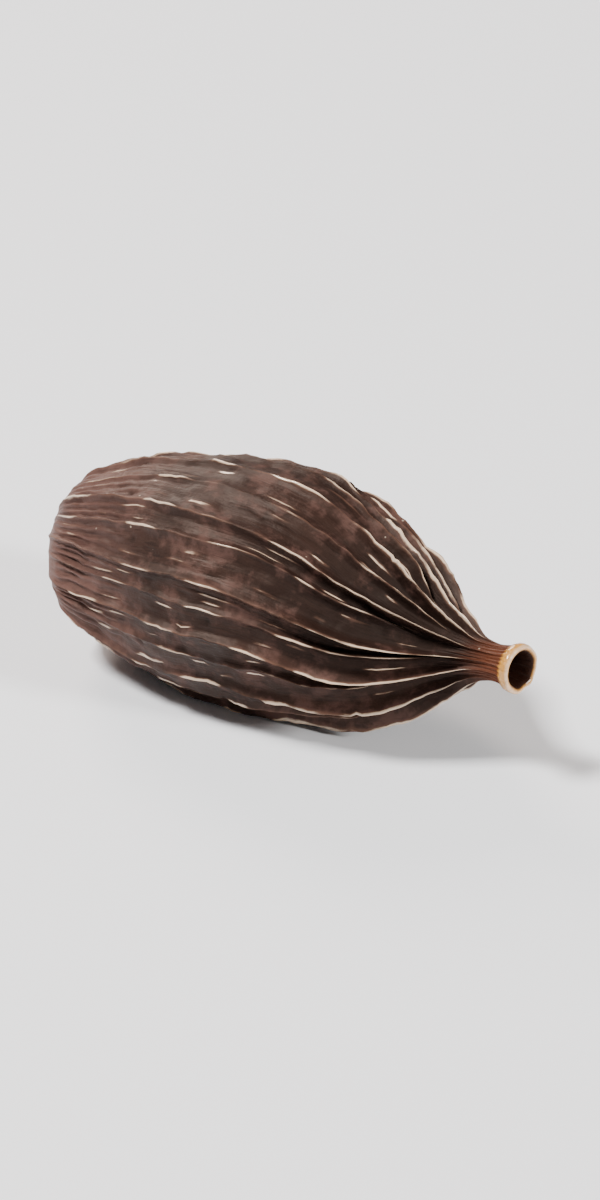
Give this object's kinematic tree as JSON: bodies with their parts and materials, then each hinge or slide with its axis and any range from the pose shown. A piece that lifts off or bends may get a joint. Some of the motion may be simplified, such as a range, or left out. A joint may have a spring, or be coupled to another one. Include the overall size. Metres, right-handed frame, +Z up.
{
  "type": "dried black cardamom pod",
  "caption": "Whole dried black cardamom pod lying on its side, a ribbed dark brown capsule with a short hollow neck and a flared pale lip.",
  "frame": {"origin": "on the surface that the pod lies on, under the middle of its box", "axes": "+X along the pod from the blunt end to the neck, +Z up"},
  "size_m": [0.0294, 0.0138, 0.0129],
  "materials": {
    "pod_skin": "matte, dry and fibrous dark brown skin, with paler worn rib crests and a tan lip on the neck"
  },
  "bodies": {
    "root": {"pod": "pod_skin"}
  },
  "joints": []
}
